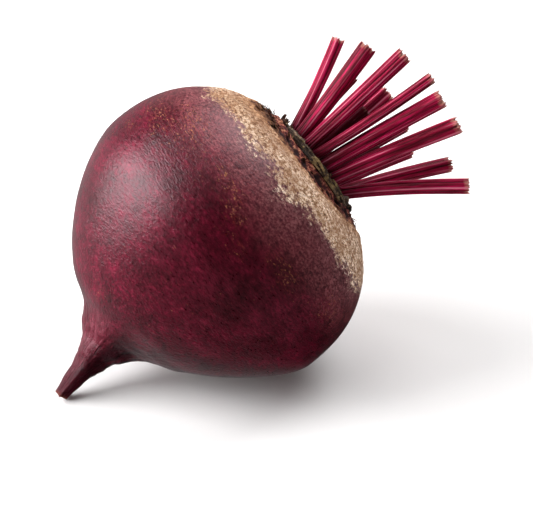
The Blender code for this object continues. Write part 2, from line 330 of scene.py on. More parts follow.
def turned(x, y, turn):
    """A point turned round the axis: x cos - y sin, and x sin + y cos."""
    return x * math.cos(turn) - y * math.sin(turn), x * math.sin(turn) + y * math.cos(turn)


def wrapped(radius, turn, height):
    """Coordinates that follow a round form: x and y on a circle, and a height."""
    x, y = radius * np.cos(turn), radius * np.sin(turn)
    return np.stack(np.broadcast_arrays(x, y, height), axis=-1)


def lumps(points, size, seed):
    """Smooth lumps about one size across, from -1 to 1: a fixed random number at each corner of a
    grid of cubes, and between the corners a blend with weights 3s^2 - 2s^3 along each side."""
    cell = points / size
    low = np.floor(cell).astype(np.int64)
    share = cell - low
    share = share * share * (3.0 - 2.0 * share)
    total = np.zeros(points.shape[:-1])
    for corner in np.ndindex(2, 2, 2):
        at = low + np.array(corner)
        code = at[..., 0] * 374761393 + at[..., 1] * 668265263 + at[..., 2] * 1442695041
        code = (code + seed * 1013904223) & 0xFFFFFFFF
        code = ((code ^ (code >> 13)) * 1274126177) & 0xFFFFFFFF
        value = ((code ^ (code >> 16)) & 0xFFFF) / 32767.5 - 1.0
        weight = np.prod(np.where(np.array(corner) == 1, share, 1.0 - share), axis=-1)
        total += weight * value
    return total


def layered(points, *layers):
    """Layers of lumps added up. Each layer is its strength, its size and its seed."""
    return sum(strength * lumps(points, size, seed) for strength, size, seed in layers)


def in_scene(x, y, z):
    """Points given on the root's own axes, put into the scene: centre + x, y and z times the
    directions of its lowest side, its level side and its axis."""
    return CENTRE + x[..., None] * LOWEST_SIDE + y[..., None] * LEVEL_SIDE + z[..., None] * AXIS


def normals(points):
    """Outward directions of a grid whose columns close up: the cross product of the differences
    between the neighbours in a row and in a column."""
    around = np.roll(points, -1, axis=1) - np.roll(points, 1, axis=1)
    along = np.gradient(points, axis=0)
    return unit(np.cross(along, around))


def linked(name, data):
    """An object for a mesh, a lamp or a camera, in the scene."""
    made = bpy.data.objects.new(name, data)
    bpy.context.scene.collection.objects.link(made)
    return made


def finished_piece(name, mesh, finish):
    """A piece from a mesh: smooth, and with its finish."""
    mesh.validate()
    mesh.shade_smooth()
    mesh.materials.append(finish)
    return linked(name, mesh)


def grid_faces(number):
    """The four-sided faces of a grid of point numbers whose columns close up."""
    right = np.roll(number, -1, axis=1)
    return np.stack((number[:-1], number[1:], right[1:], right[:-1]), axis=-1).reshape(-1, 4)


def grid_piece(name, points, finish, marks, poles=True):
    """A piece from a grid of points whose columns close up. Two poles, in the middle of the first
    row and of the last, close its ends with fans of triangles; without them the rows close up too,
    and make a ring. Marks are numbers or vectors that the finish reads, one a point."""
    rows, columns = points.shape[:2]
    number = np.arange(rows * columns).reshape(rows, columns)
    fans = np.empty((0, 3), int)
    if poles:
        quads = grid_faces(number)
        right = np.roll(number, -1, axis=1)
        first = np.full(columns, rows * columns)
        top = np.stack((number[0], right[0], first), axis=-1)
        bottom = np.stack((right[-1], number[-1], first + 1), axis=-1)
        fans = np.concatenate((top, bottom))
    else:
        quads = grid_faces(np.concatenate((number, number[:1])))

    def in_order(values):
        values = np.broadcast_to(values, (rows, columns) + values.shape[2:])
        flat = values.reshape(rows * columns, -1)
        ends = (flat[:columns].mean(axis=0), flat[-columns:].mean(axis=0))
        return np.concatenate((flat, np.array(ends))) if poles else flat

    mesh = bpy.data.meshes.new(name)
    corners = in_order(points)
    mesh.vertices.add(len(corners))
    mesh.vertices.foreach_set("co", (corners * MM).ravel())
    loops = np.concatenate((quads.ravel(), fans.ravel()))
    mesh.loops.add(len(loops))
    mesh.loops.foreach_set("vertex_index", loops.astype(np.int32))
    sizes = np.concatenate((np.full(len(quads), 4), np.full(len(fans), 3)))
    mesh.polygons.add(len(sizes))
    mesh.polygons.foreach_set("loop_start", (np.cumsum(sizes) - sizes).astype(np.int32))
    mesh.update(calc_edges=True)
    for mark, values in marks.items():
        kind, key = ("FLOAT_VECTOR", "vector") if values.ndim == 3 else ("FLOAT", "value")
        layer = mesh.attributes.new(mark, kind, "POINT")
        layer.data.foreach_set(key, in_order(values).ravel().astype(np.float32))
    return finished_piece(name, mesh, finish)


def joined_blades(name, blades, finish):
    """One piece from many blades of the same grid, each with a tone of its own: each blade's own
    faces, numbered on from the ones before, with its two ends closed by one face each."""
    grids = np.array([points for points, tone in blades])
    tones = np.array([tone for points, tone in blades])
    count, rows, columns = grids.shape[:3]
    number = np.arange(rows * columns).reshape(rows, columns)
    starts = np.arange(count) * rows * columns
    quads = (grid_faces(number)[None] + starts[:, None, None]).reshape(-1, 4)
    tops = number[0][None] + starts[:, None]
    feet = number[-1][::-1][None] + starts[:, None]
    mesh = bpy.data.meshes.new(name)
    faces = quads.tolist() + tops.tolist() + feet.tolist()
    mesh.from_pydata(grids.reshape(-1, 3) * MM, [], faces)
    mesh.update()
    layer = mesh.attributes.new("tone", "FLOAT", "POINT")
    layer.data.foreach_set("value", np.repeat(tones, rows * columns).astype(np.float32))
    return finished_piece(name, mesh, finish)


def oval_radius(height):
    """Two half ovals that meet at the widest section, the tail's one with a rounded start."""
    crown_share = np.clip(height / CROWN_REACH, 0.0, 1.0)
    tail_share = np.clip(-height / TAIL_REACH, 0.0, 1.0)
    rounded = np.hypot(tail_share, TAIL_ROUNDING) - TAIL_ROUNDING
    tail_share = rounded / (math.hypot(1.0, TAIL_ROUNDING) - TAIL_ROUNDING)
    return ROOT_RADIUS * np.sqrt(1.0 - crown_share**CROWN_POWER - tail_share**TAIL_POWER)


def root_radius(height):
    """The ovals, and below TAIL_START an exponential fall from their slope to the tail's tip."""
    step = 0.01
    start = float(oval_radius(TAIL_START))
    slope = (float(oval_radius(TAIL_START + step)) - start) / step
    fade = (start - TAIL_TIP_RADIUS) / slope
    fall = np.exp(np.minimum(height - TAIL_START, 0.0) / fade)
    tail = TAIL_TIP_RADIUS + (start - TAIL_TIP_RADIUS) * fall
    return np.where(height < TAIL_START, tail, oval_radius(height))


def shoulder_height(radius):
    """The height at which the crown's half oval has this radius."""
    return CROWN_REACH * (1.0 - (radius / ROOT_RADIUS) ** 2) ** (1.0 / CROWN_POWER)


def root_outline():
    """The radius and height of every row: the crown's domed table, the ring's seat, the shoulder
    in steps of 0.28 mm, the body in steps of about 0.9 mm, and the tail in steps of 0.4 mm."""
    equator = math.pi / 2
    table = np.linspace(0.5, TABLE_RADIUS - 0.3, 20)
    seat = np.linspace(TABLE_RADIUS, SEAT_RADIUS, 7)
    wall = np.linspace(SEAT_RADIUS, RIM_RADIUS, 6)[1:-1]
    shoulder = np.arange(RIM_RADIUS, 30.0, 0.28)
    wall_rise = shoulder_height(RIM_RADIUS) - SEAT_HEIGHT
    crown_start = math.acos(float(shoulder_height(30.2)) / CROWN_REACH)
    crown = CROWN_REACH * np.cos(np.linspace(crown_start, equator, 48))
    belly_end = math.acos(TAIL_START / TAIL_REACH)
    belly = TAIL_REACH * np.cos(np.linspace(equator, belly_end, 48)[1:])
    tail = np.linspace(TAIL_START, TAIL_END, 69)[1:]
    sides = np.concatenate((crown, belly, tail))
    radius = np.concatenate((table, seat, wall, shoulder, root_radius(sides), (0.95, 0.45)))
    height = np.concatenate(
        (
            TABLE_HEIGHT + TABLE_DOME * (1.0 - (table / TABLE_RADIUS) ** 2),
            np.full(len(seat), SEAT_HEIGHT),
            SEAT_HEIGHT + wall_rise * (wall - SEAT_RADIUS) / (RIM_RADIUS - SEAT_RADIUS),
            shoulder_height(shoulder),
            sides,
            (TAIL_END - 0.25, TAIL_END - 0.37),
        )
    )
    return radius, height


def bowed(x, y, height):
    """Bows everything below BOW_START along an arc of BOW_RADIUS."""
    angle = np.maximum(BOW_START - height, 0.0) / BOW_RADIUS
    towards, aside = turned(x, y, -BOW_TURN)
    along = BOW_RADIUS * (1.0 - np.cos(angle)) + towards * np.cos(angle)
    new_height = np.maximum(height, BOW_START) - (BOW_RADIUS - towards) * np.sin(angle)
    return *turned(along, aside, BOW_TURN), new_height


def root_points(radius, turn, height):
    """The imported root's own form: swells round the body, knobs along the tail, the crown's dip and
    scars, and the bow of the lower half."""
    body = np.clip((SWELL_END - height) / SWELL_FADE, 0.0, 1.0)
    tail = np.clip((KNOB_START - height) / KNOB_FADE, 0.0, 1.0)
    growth = np.ones_like(radius)
    for count, share in SWELLS:
        growth += share * body * np.sin(count * (turn - SWELL_TURN))
    for count, twist, share in KNOBS:
        growth += share * tail * np.sin(count * turn + twist * height)
    crown = np.clip((height - DIP_END) / (SEAT_HEIGHT - DIP_END), 0.0, 1.0)
    outside = np.clip((radius - SEAT_RADIUS) / (RIM_RADIUS - SEAT_RADIUS), 0.0, 1.0)
    side = bell(turn_between(turn, DIP_TURN), DIP_SPREAD)
    band = bell(radius - SCAR_RADIUS, SCAR_WIDTH) * (height > 0.0)
    scars = 0.5 + 0.5 * np.cos(SCAR_COUNT * turn + 1.5 * np.sin(3 * turn))
    drop = DIP_DEPTH * crown * outside * side + SCAR_DEPTH * band * scars
    wide = radius * growth
    return in_scene(*bowed(wide * np.cos(turn), wide * np.sin(turn), height - drop))


def scar_pits(radius, turn, outer, circle):
    """Pits over the scar band: the deepest of many slanted oval bells, at random places between
    the rim and the cork."""
    random = np.random.default_rng(11)
    wavy = 0.35 * lumps(circle, 1.0, 6)
    pits = np.zeros_like(radius)
    for number in range(PIT_COUNT):
        middle = TURN * (number + random.uniform(-0.35, 0.35)) / PIT_COUNT
        share = random.uniform(0.05, 0.55)
        long = random.uniform(1.3, 2.9)
        wide = random.uniform(0.75, 1.35)
        deep = random.uniform(0.7, 1.0)
        away = radius - (RIM_RADIUS + share * (outer - RIM_RADIUS))
        round_it = turn_between(turn, middle) * radius
        slanted = away - 0.25 * round_it + wavy
        pits = np.maximum(pits, deep * bell(round_it, long) * bell(slanted, wide))
    return pits


def band_marks(radius, turn, height):
    """How much each point belongs to the cork, its torn lip, the dusty skin beside it, the scar
    band, its pits, and the crown's table. The edges of the cork wander by layers of lumps."""
    circle = wrapped(20.0, turn, radius * 0.6)
    above = height > 0.0
    retreat = bell(turn_between(turn, CORK_RETREAT_TURN), CORK_RETREAT_SPREAD)
    away_from_dip = 1.0 - bell(turn_between(turn, DIP_TURN), 0.9)
    inner = CORK_INNER + layered(circle, *INNER_WANDER)
    outer = CORK_OUTER - CORK_NEAR_DIP * away_from_dip + CORK_RETREAT * retreat
    outer = outer + layered(circle, *OUTER_WANDER)
    cork = smooth_step(radius, outer - 0.25, outer + 0.25) * above
    scar = (1.0 - smooth_step(radius, outer - 0.3, outer + 0.1)) * above
    scar = scar * smooth_step(radius, SEAT_RADIUS - 1.0, SEAT_RADIUS)
    table = 1.0 - smooth_step(radius, TABLE_RADIUS - 0.2, TABLE_RADIUS + 0.3)
    return {
        "cork": cork * (1.0 - smooth_step(radius, inner - CORK_FADE, inner + CORK_FADE)),
        "lip": 1.0 - smooth_step(radius, outer + 0.5, outer + 5.5),
        "dust": (1.0 - smooth_step(radius, inner - 1.0, inner + 8.0)) * above,
        "scar": scar,
        "scaly": scar * smooth_step(radius, 21.5, 24.0),
        "pit": scar * scar_pits(radius, turn, outer, circle) * (1.0 - 0.7 * retreat),
        "table": table * above,
    }


def patch_marks(patches, radius, turn, height):
    """Where patches lie on the skin: the strongest of their bell curves."""
    mark = np.zeros_like(radius)
    for middle, level, half_round, half_along, strength in patches:
        round_it = turn_between(turn, math.radians(middle)) * radius
        patch = strength * bell(round_it, half_round) * bell(height - level, half_along)
        mark = np.maximum(mark, patch)
    return mark


def skin_relief(points, radius, turn, height, marks):
    """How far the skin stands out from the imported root's form, in millimetres: broad dents, waves
    that run round the body, fibres in the cork, a sunken and pitted scar band, and creases that
    run along the tail. Each is a sum of lumps on coordinates stretched along its own direction."""
    circle = wrapped(radius * 0.3, turn, height)
    strand = wrapped(9.0, turn, 0.14 * height)
    cork, scar, table = marks["cork"], marks["scar"], marks["table"]
    smooth = 1.0 - np.maximum(np.maximum(cork, scar), table)
    tail = smooth_step(-height, 30.0, 44.0)
    dents = layered(points, (0.20, 15.0, 21), (0.05, 7.0, 22))
    waves = layered(circle, (0.030, 4.4, 23), (0.022, 2.3, 24))
    cracks = (1.0 - np.abs(lumps(circle, 1.5, 25))) ** 6
    fibres = layered(circle, (0.16, 1.9, 26)) + layered(points, (0.14, 0.9, 27))
    torn = layered(points, (0.24, 1.4, 28)) + layered(circle, (0.18, 0.8, 29))
    ridge = bell(turn_between(turn, TAIL_RIDGE), 0.26)
    facet = bell(turn_between(turn, TAIL_FACET), 0.42)
    creases = (1.0 - np.abs(lumps(strand, 3.0, 30))) ** 4
    folds = 0.36 * ridge - 0.48 * facet + layered(strand, (0.10, 2.2, 31)) - 0.10 * creases
    wrinkles = layered(circle, (0.13, 1.5, 35)) + layered(points, (0.14, 1.4, 32))
    stubs = layered(points, (0.42, 2.4, 33), (0.26, 1.1, 34))
    relief = dents + smooth * (1.0 - 0.6 * tail) * waves
    relief += cork * (0.30 + fibres - 0.18 * cracks)
    relief += scar * (torn - 0.20) - 1.25 * marks["pit"]
    relief += tail * (folds + wrinkles) + table * (stubs - 0.25)
    seat = smooth_step(radius, TABLE_RADIUS - 0.1, TABLE_RADIUS + 0.1)
    seat = seat * (1.0 - smooth_step(radius, SEAT_RADIUS - 0.3, SEAT_RADIUS)) * (height > 0.0)
    return relief * (1.0 - seat)


def make_root(finish):
    """The root's skin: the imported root's form moved along its outward directions by the relief,
    and flattened where it would go through the table."""
    radius, height = root_outline()
    turns = np.arange(COLUMNS) * TURN / COLUMNS
    turn, radius = np.meshgrid(turns, radius)
    height = np.repeat(height[:, None], COLUMNS, axis=1)
    marks = band_marks(radius, turn, height)
    points = root_points(radius, turn, height)
    relief = skin_relief(points, radius, turn, height, marks)
    points = points + normals(points) * relief[..., None]
    points[..., 2] = np.maximum(points[..., 2], 0.0)
    # Where the painted mauve sheen lies: high on the shoulder, standing in for a reflection.
    painted_sheen = smooth_step(radius, 30.0, 40.0) * smooth_step(height, 6.0, 21.0)
    # The flush mark: redder and darker places, painted light and painted shade among them on the
    # near side.
    flush_and_painted_shading = patch_marks(FLUSHES_AND_PAINTED_LIGHT, radius, turn, height)
    marks.update(
        {
            "patch": patch_marks(CORK_PATCHES, radius, turn, height),
            "flush_and_painted_shading": flush_and_painted_shading - patch_marks(DARK_PATCHES_AND_PAINTED_SHADE, radius, turn, height),
            # Darker cork round the upper side: partly its own tone, partly painted shade.
            "upper_tone_and_painted_shade": bell(turn_between(turn, CORK_RETREAT_TURN), 0.42),
            "painted_sheen": painted_sheen * (height > 0.0),
            "tail": smooth_step(-height, 34.0, 46.0),
            "tip": smooth_step(-height, 64.6, 65.7),
            "grain": wrapped(18.0, turn, height) * MM,
            "strand": wrapped(12.0, turn, 0.2 * height) * MM,
        }
    )
    return grid_piece("root_skin", points, finish, marks)


def ring_section():
    """The ring's section, down its outer side and up its inner side, as shares of its width from
    inside to outside and of its height: a rounded oblong, widest low down."""
    angle = np.linspace(0.0, TURN, RING_ROWS, endpoint=False)
    across = 0.5 + 0.5 * np.sign(np.sin(angle)) * np.abs(np.sin(angle)) ** 0.7
    up = 0.5 + 0.5 * np.sign(np.cos(angle)) * np.abs(np.cos(angle)) ** 0.7
    return across, up


def make_ring(finish):
    """The core of the ring of dried leaf bases: its section carried round the crown, roughened by
    lumps, with torn points on its upper edge. The leaf bases lie on it."""
    across, up = ring_section()
    turns = np.arange(RING_COLUMNS) * TURN / RING_COLUMNS
    turn, across = np.meshgrid(turns, across)
    up = np.repeat(up[:, None], RING_COLUMNS, axis=1)
    radius = RING_INNER + (RING_OUTER - RING_INNER) * across
    height = SEAT_HEIGHT + 0.05 + RING_HEIGHT * 0.9 * up
    circle = wrapped(16.0, turn, height)
    torn = np.maximum(layered(circle, (1.0, 2.1, 41), (0.5, 0.8, 42)), 0.0)
    height = height + up**3 * 1.3 * torn
    points = in_scene(radius * np.cos(turn), radius * np.sin(turn), height)
    rough = layered(points, (0.20, 1.1, 43), (0.12, 0.5, 44))
    middle = points.mean(axis=0, keepdims=True)
    points = points + unit(points - middle) * rough[..., None]
    return grid_piece("dried_ring", points, finish, {"tone": 0.30 + 0.30 * torn}, poles=False)


def blade_grid(first, last, rows, columns):
    """For each point of a blade, its share along it from first to last, and its turn round the
    blade's section."""
    along = np.linspace(first, last, rows)[:, None] * np.ones(columns)
    angle = np.arange(columns) * TURN / columns * np.ones((rows, 1))
    return along, angle


def strap_points(turn, half_turn, radius, height, wide, thick, tilt, splay, seed):
    """One dried leaf base that lies along the ring: a flat strip bent round the crown, widest in
    its middle, with two ridges along it. Tilt raises one end, and splay turns one end outwards.
    The grid runs from end to end, and round the strip's section."""
    along, angle = blade_grid(-1.0, 1.0, *STRAP_GRID)
    random = np.random.default_rng(seed)
    uneven = 1.0 + 0.14 * random.uniform(-1, 1, (len(along), 1))
    taper = np.sqrt(1.0 - 0.97 * np.abs(along) ** 3) * uneven
    across = 0.5 * wide * taper * np.cos(angle)
    ridges = 1.0 + 0.35 * np.cos(3.0 * math.pi * np.cos(angle))
    out = 0.5 * thick * taper * np.sin(angle) * ridges + splay * along
    out, rise = turned(out, across, random.uniform(0.0, 0.45))
    reach = radius + out
    level = height + rise + tilt * along + 0.12 * np.sin(3.0 * along + seed)
    at = turn + half_turn * along
    return in_scene(reach * np.cos(at), reach * np.sin(at), level)


def make_straps(finish):
    """The dried leaf bases, in three rows that overlap round the ring."""
    random = np.random.default_rng(17)
    straps = []
    for level in STRAP_LEVELS:
        offset = random.uniform(0.0, 1.0)
        for number in range(STRAPS):
            points = strap_points(
                turn=TURN * (number + offset + random.uniform(-0.3, 0.3)) / STRAPS,
                half_turn=TURN / STRAPS * random.uniform(0.45, 0.85),
                radius=RING_OUTER + random.uniform(-0.25, 0.20),
                height=SEAT_HEIGHT + level + random.uniform(-0.15, 0.15),
                wide=random.uniform(0.55, 1.0),
                thick=random.uniform(0.35, 0.65),
                tilt=random.uniform(-0.25, 0.25),
                splay=random.uniform(-0.12, 0.16),
                seed=number,
            )
            straps.append((points, random.uniform(0.0, 1.0)))
    return joined_blades("dried_bases", straps, finish)


def flake_points(turn, radius, height, long, wide, lean, curl, seed, thick=FLAKE_THICKNESS):
    """One dried scale, rising from its foot: a blade that narrows to its tip along a curve whose
    lean grows by curl, hollow across, with a torn edge, thinner at its tip. The grid runs from the
    tip to the foot, and round the blade's section."""
    along, angle = blade_grid(1.0, 0.0, *FLAKE_GRID)
    random = np.random.default_rng(seed)
    torn = 1.0 + 0.25 * random.uniform(-1.0, 1.0, (len(along), 1)) * along
    aside = 0.5 * wide * (1.0 - 0.62 * along**2.4) * torn * np.cos(angle)
    slope = lean + curl * along
    side = 0.5 * thick * np.sin(angle) * (1.0 - 0.5 * along)
    hollow = 0.25 * wide * (aside / np.maximum(0.5 * wide, 0.01)) ** 2
    reach = radius + long * along * np.sin(slope) + side * np.cos(slope) - hollow
    rise = long * along * np.cos(slope) - side * np.sin(slope)
    return in_scene(*turned(reach, aside, turn), height + rise)


def crown_height(radius, turn):
    """The height of the shoulder near the ring, with the dip on the near side."""
    level = float(shoulder_height(radius))
    share = min((level - DIP_END) / (SEAT_HEIGHT - DIP_END), 1.0)
    return level - DIP_DEPTH * share * float(bell(turn_between(turn, DIP_TURN), DIP_SPREAD))


def make_flakes(finish):
    """Torn dried scales along the ring and over the scar band, crowded on the upper side, where
    three prongs stand out of them. All are joined into one piece."""
    random = np.random.default_rng(5)
    flakes = []
    for number in range(FLAKES):
        turn = TURN * (number + random.uniform(-0.4, 0.4)) / FLAKES
        crowd = float(bell(turn_between(turn, TUFT_TURN), 0.45))
        if number % 2 == 0:
            radius = random.uniform(RING_OUTER - 0.9, RING_OUTER - 0.1)
            height = SEAT_HEIGHT + random.uniform(1.0, 1.7)
            lean = random.uniform(-0.1, 0.5)
            long = random.uniform(0.8, 1.4) * (1.0 + 0.4 * crowd)
        else:
            radius = random.uniform(RIM_RADIUS + 0.8, CORK_OUTER - 2.0 + 4.0 * crowd)
            height = crown_height(radius, turn) - 0.15
            lean = random.uniform(1.2, 1.8)
            long = random.uniform(1.0, 2.2)
        wide = random.uniform(0.8, 2.0)
        curl = random.uniform(-0.5, 0.7)
        points = flake_points(turn, radius, height, long, wide, lean, curl, number)
        flakes.append((points, random.uniform(0.0, 0.6)))
    for number in range(SCALES):
        turn = SCALES_TURN + random.uniform(-0.42, 0.42)
        radius = random.uniform(RIM_RADIUS + 0.8, CORK_OUTER + 2.5)
        height = crown_height(radius, turn) - 0.1
        long = random.uniform(1.0, 2.2)
        wide = random.uniform(0.9, 2.2)
        lean = random.uniform(1.75, 2.05)
        points = flake_points(turn, radius, height, long, wide, lean, -0.30, number + 200)
        flakes.append((points, random.uniform(0.0, 0.8)))
    for number, (turn, long, wide, lean) in enumerate(PRONGS, 300):
        place = (math.radians(turn), RING_OUTER, SEAT_HEIGHT + 0.9)
        points = flake_points(*place, long, wide, lean, -0.4, number, PRONG_THICKNESS)
        flakes.append((points, 0.05))
    return joined_blades("dried_flakes", flakes, finish)


def stem_section(angle, seed):
    """The section of a stem, one wide, as shares outward and across: round outside, flatter and
    channelled inside, with uneven rounded ribs between narrow grooves, 1 - d + d |cos(n t / 2)|
    on a turn t that is itself a little warped, and finer ribs on them."""
    random = np.random.default_rng(seed)
    warp = 0.16 * np.sin(angle + random.uniform(0, TURN))
    warp = warp + 0.10 * np.sin(2 * angle + random.uniform(0, TURN))
    ribs = np.abs(np.cos(0.5 * STEM_RIBS * (angle + warp))) ** 0.8
    fine = np.abs(np.cos(8.5 * (angle - warp))) ** 0.7
    rib = 0.96 + 0.15 * (ribs - 0.6) + 0.030 * fine
    from_channel = math.pi - np.abs(angle)
    behind = np.clip((math.pi / 2 - from_channel) / math.radians(45), 0.0, 1.0)
    inside = 0.35 * bell(from_channel, math.radians(24)) - 0.62 * behind
    outward = np.where(np.cos(angle) > 0.0, np.cos(angle), inside)
    return 0.5 * rib * outward, 0.5 * rib * np.sin(angle), ribs, fine


def stem_path(along, length, foot_lean, lean):
    """A stem's middle line and its direction, in the plane that it leans in: the curve from the
    foot past a knee to the tip, 2 s (1 - s) knee + s^2 tip."""
    knee = STEM_KNEE * length * np.array((math.sin(foot_lean), math.cos(foot_lean)))
    tip = length * np.array((math.sin(lean), math.cos(lean)))
    out, rise = (2 * along * (1.0 - along) * k + along**2 * t for k, t in zip(knee, tip))
    run_out, run_rise = ((1.0 - 2 * along) * k + along * t for k, t in zip(knee, tip))
    size = np.hypot(run_out, run_rise)
    return out, rise, run_out / size, run_rise / size


def stem_rows():
    """For every row of a stem, its share of the width, its share along the stem and whether it is
    on the cut: from the middle of the cut end to its rim, and down the side to just below 0."""
    cut = np.ones(len(CUT_SHARES))
    share = np.concatenate((CUT_SHARES, np.ones(STEM_ROWS)))
    along = np.concatenate((cut, np.linspace(1.0, -0.05, STEM_ROWS)))
    on_cut = np.concatenate((cut, np.zeros(STEM_ROWS)))
    return share[:, None], along[:, None], on_cut[:, None]


def make_stem(name, seed, finish):
    """A cut stem: its ribbed section carried along its middle line. The rows go from the middle of
    the cut end over its ragged rim and down the side, to a foot that sinks into the crown."""
    foot_turn, distance, foot_lean, lean, lean_turn, length, width = STEMS[name]
    foot_turn, foot_lean, lean, lean_turn = map(
        math.radians, (foot_turn, foot_lean, lean, lean_turn)
    )
    share, along, on_cut = stem_rows()
    turns = np.arange(STEM_COLUMNS) * TURN / STEM_COLUMNS
    angle = turn_between(turns, 0.0)[None, :] + 0.12 * np.sin(3.0 * along + seed)
    outward, across, ribs, fine = stem_section(angle, seed)
    circle = wrapped(9.0, angle, 0.12 * length * along)
    wide = width * (STEM_FOOT_SHARE + (1.0 - STEM_FOOT_SHARE) * np.sqrt(np.maximum(along, 0.0)))
    flare = 1.0 + 0.16 * smooth_step(-along, -0.10, 0.0)
    bevel = 1.0 - 0.05 * smooth_step(along, 0.992, 1.0)
    wear = 1.0 + layered(circle + 3.1 * seed, (0.018, 1.6, 51))
    wear = wear + layered(circle + seed, (0.02, 5.0, 52))
    wide = wide * flare * bevel * wear * share
    ragged = 0.65 * (ribs - 0.5) + 0.35 * (fine - 0.5)
    ragged = ragged + layered(circle * 1.7 + seed, (0.45, 1.3, 53))
    across_cut = np.stack(np.broadcast_arrays(share * outward, share * across, seed), axis=-1)
    fibres = layered(across_cut * 60.0, (0.22, 5.0, 54))
    hollow = on_cut * (fibres - 0.5 * (1.0 - share**3))
    push = smooth_step(along, 0.94, 1.0) * ragged * share**4 + hollow
    out, rise, run_out, run_rise = stem_path(along, length, foot_lean, lean)
    x = out + wide * outward * run_rise + push * run_out
    y = wide * across
    z = rise - wide * outward * run_out + push * run_rise
    lift = STEM_FOOT_LIFT * width * math.sin(foot_lean)
    x, y = turned(x, y, lean_turn)
    foot_x, foot_y = turned(distance, 0.0, foot_turn)
    points = in_scene(x + foot_x, y + foot_y, z + TABLE_HEIGHT + TABLE_DOME + FIT_GAP + lift)
    strand = wrapped(2.5, angle, 0.05 * length * along)
    marks = {
        "cut": on_cut,
        "share": share,
        "rib": ribs,
        "fine": fine,
        "along": along,
        # The heart stems get painted shade, deep in the crown among the other stems.
        "shaded": np.full_like(along, 0.84 if name.startswith("heart") else 0.0),
        "lip": smooth_step(along, 0.965, 1.0),
        "strand": strand * MM + seed * 0.013,
    }
    return grid_piece(name + "_flesh", points, finish, marks)


class Nodes:
    """Shader nodes in one tree. Most calls add one node and give back its output."""

    def __init__(self, tree):
        self.tree = tree

    def feed(self, socket, value):
        """Links an output to a socket, or sets the socket to a number, vector or colour."""
        if isinstance(value, bpy.types.NodeSocket):
            self.tree.links.new(value, socket)
        elif socket.type == "RGBA" and isinstance(value, tuple):
            socket.default_value = (*value, 1.0)
        else:
            socket.default_value = value

    def node(self, kind, inputs=None, **settings):
        """A node with these settings and these inputs. Gives back all its outputs."""
        made = self.tree.nodes.new("ShaderNode" + kind)
        for setting, value in settings.items():
            setattr(made, setting, value)
        for socket, value in (inputs or {}).items():
            self.feed(made.inputs[socket], value)
        return made.outputs

    def mark(self, name, vector=False):
        """A number or a vector that the mesh holds."""
        return self.node("Attribute", attribute_name=name)["Vector" if vector else "Fac"]

    def noise(self, place, scale, detail=3.0, roughness=0.55, distortion=0.0):
        inputs = {"Vector": place, "Scale": scale, "Detail": detail}
        inputs.update({"Roughness": roughness, "Distortion": distortion})
        return self.node("TexNoise", inputs)["Fac"]

    def cells(self, place, scale):
        """The distance from the middles of scattered cells."""
        return self.node("TexVoronoi", {"Vector": place, "Scale": scale})["Distance"]

    def maths(self, operation, first, second=0.0, third=0.0):
        return self.node("Math", {0: first, 1: second, 2: third}, operation=operation)[0]

    def times(self, first, second):
        return self.maths("MULTIPLY", first, second)

    def added(self, base, value, share):
        """The base and a share of the value."""
        return self.maths("MULTIPLY_ADD", value, share, base)

    def between(self, value, low, high, start=0.0, end=1.0):
        """From start where the value is low to end where it is high, smoothly."""
        inputs = {"Value": value, "From Min": low, "From Max": high, "To Min": start, "To Max": end}
        return self.node("MapRange", inputs, interpolation_type="SMOOTHSTEP")["Result"]

    def ramp(self, value, *stops):
        """Colours at places along the value."""
        made = self.tree.nodes.new("ShaderNodeValToRGB")
        self.feed(made.inputs["Fac"], value)
        band = made.color_ramp.elements
        while len(band) < len(stops):
            band.new(1.0)
        for element, (position, colour) in zip(band, stops):
            element.position = position
            element.color = (*colour, 1.0)
        return made.outputs["Color"]

    def mix(self, factor, first, second, blend="MIX"):
        """A colour between two colours."""
        inputs = {"Factor": factor, 6: first, 7: second}
        return self.node("Mix", inputs, data_type="RGBA", blend_type=blend)[2]

    def shaded(self, colour, shade):
        """A colour times another."""
        return self.mix(1.0, colour, shade, "MULTIPLY")

    def blend(self, factor, first, second):
        """A number between two numbers."""
        return self.node("Mix", {"Factor": factor, 2: first, 3: second}, data_type="FLOAT")[0]

    def bump(self, height, depth, normal=None):
        """Relief whose full height is depth, in millimetres."""
        inputs = {"Distance": depth * MM, "Height": height}
        if normal is not None:
            inputs["Normal"] = normal
        return self.node("Bump", inputs)["Normal"]


class Finish(Nodes):
    """A procedural material, on the object's own coordinates and the mesh's marks."""

    def __init__(self, name):
        self.material = bpy.data.materials.new(name)
        self.material.use_nodes = True
        super().__init__(self.material.node_tree)
        self.shader = self.tree.nodes["Principled BSDF"]
        self.place = self.node("TexCoord")["Object"]

    def done(self, colour, roughness, normal, **others):
        """Gives the shader its colour, roughness and relief, and values for its other inputs."""
        inputs = {"Base Color": colour, "Roughness": roughness, "Normal": normal}
        inputs.update({name.replace("_", " "): value for name, value in others.items()})
        for name, value in inputs.items():
            self.feed(self.shader.inputs[name], value)
        return self.material


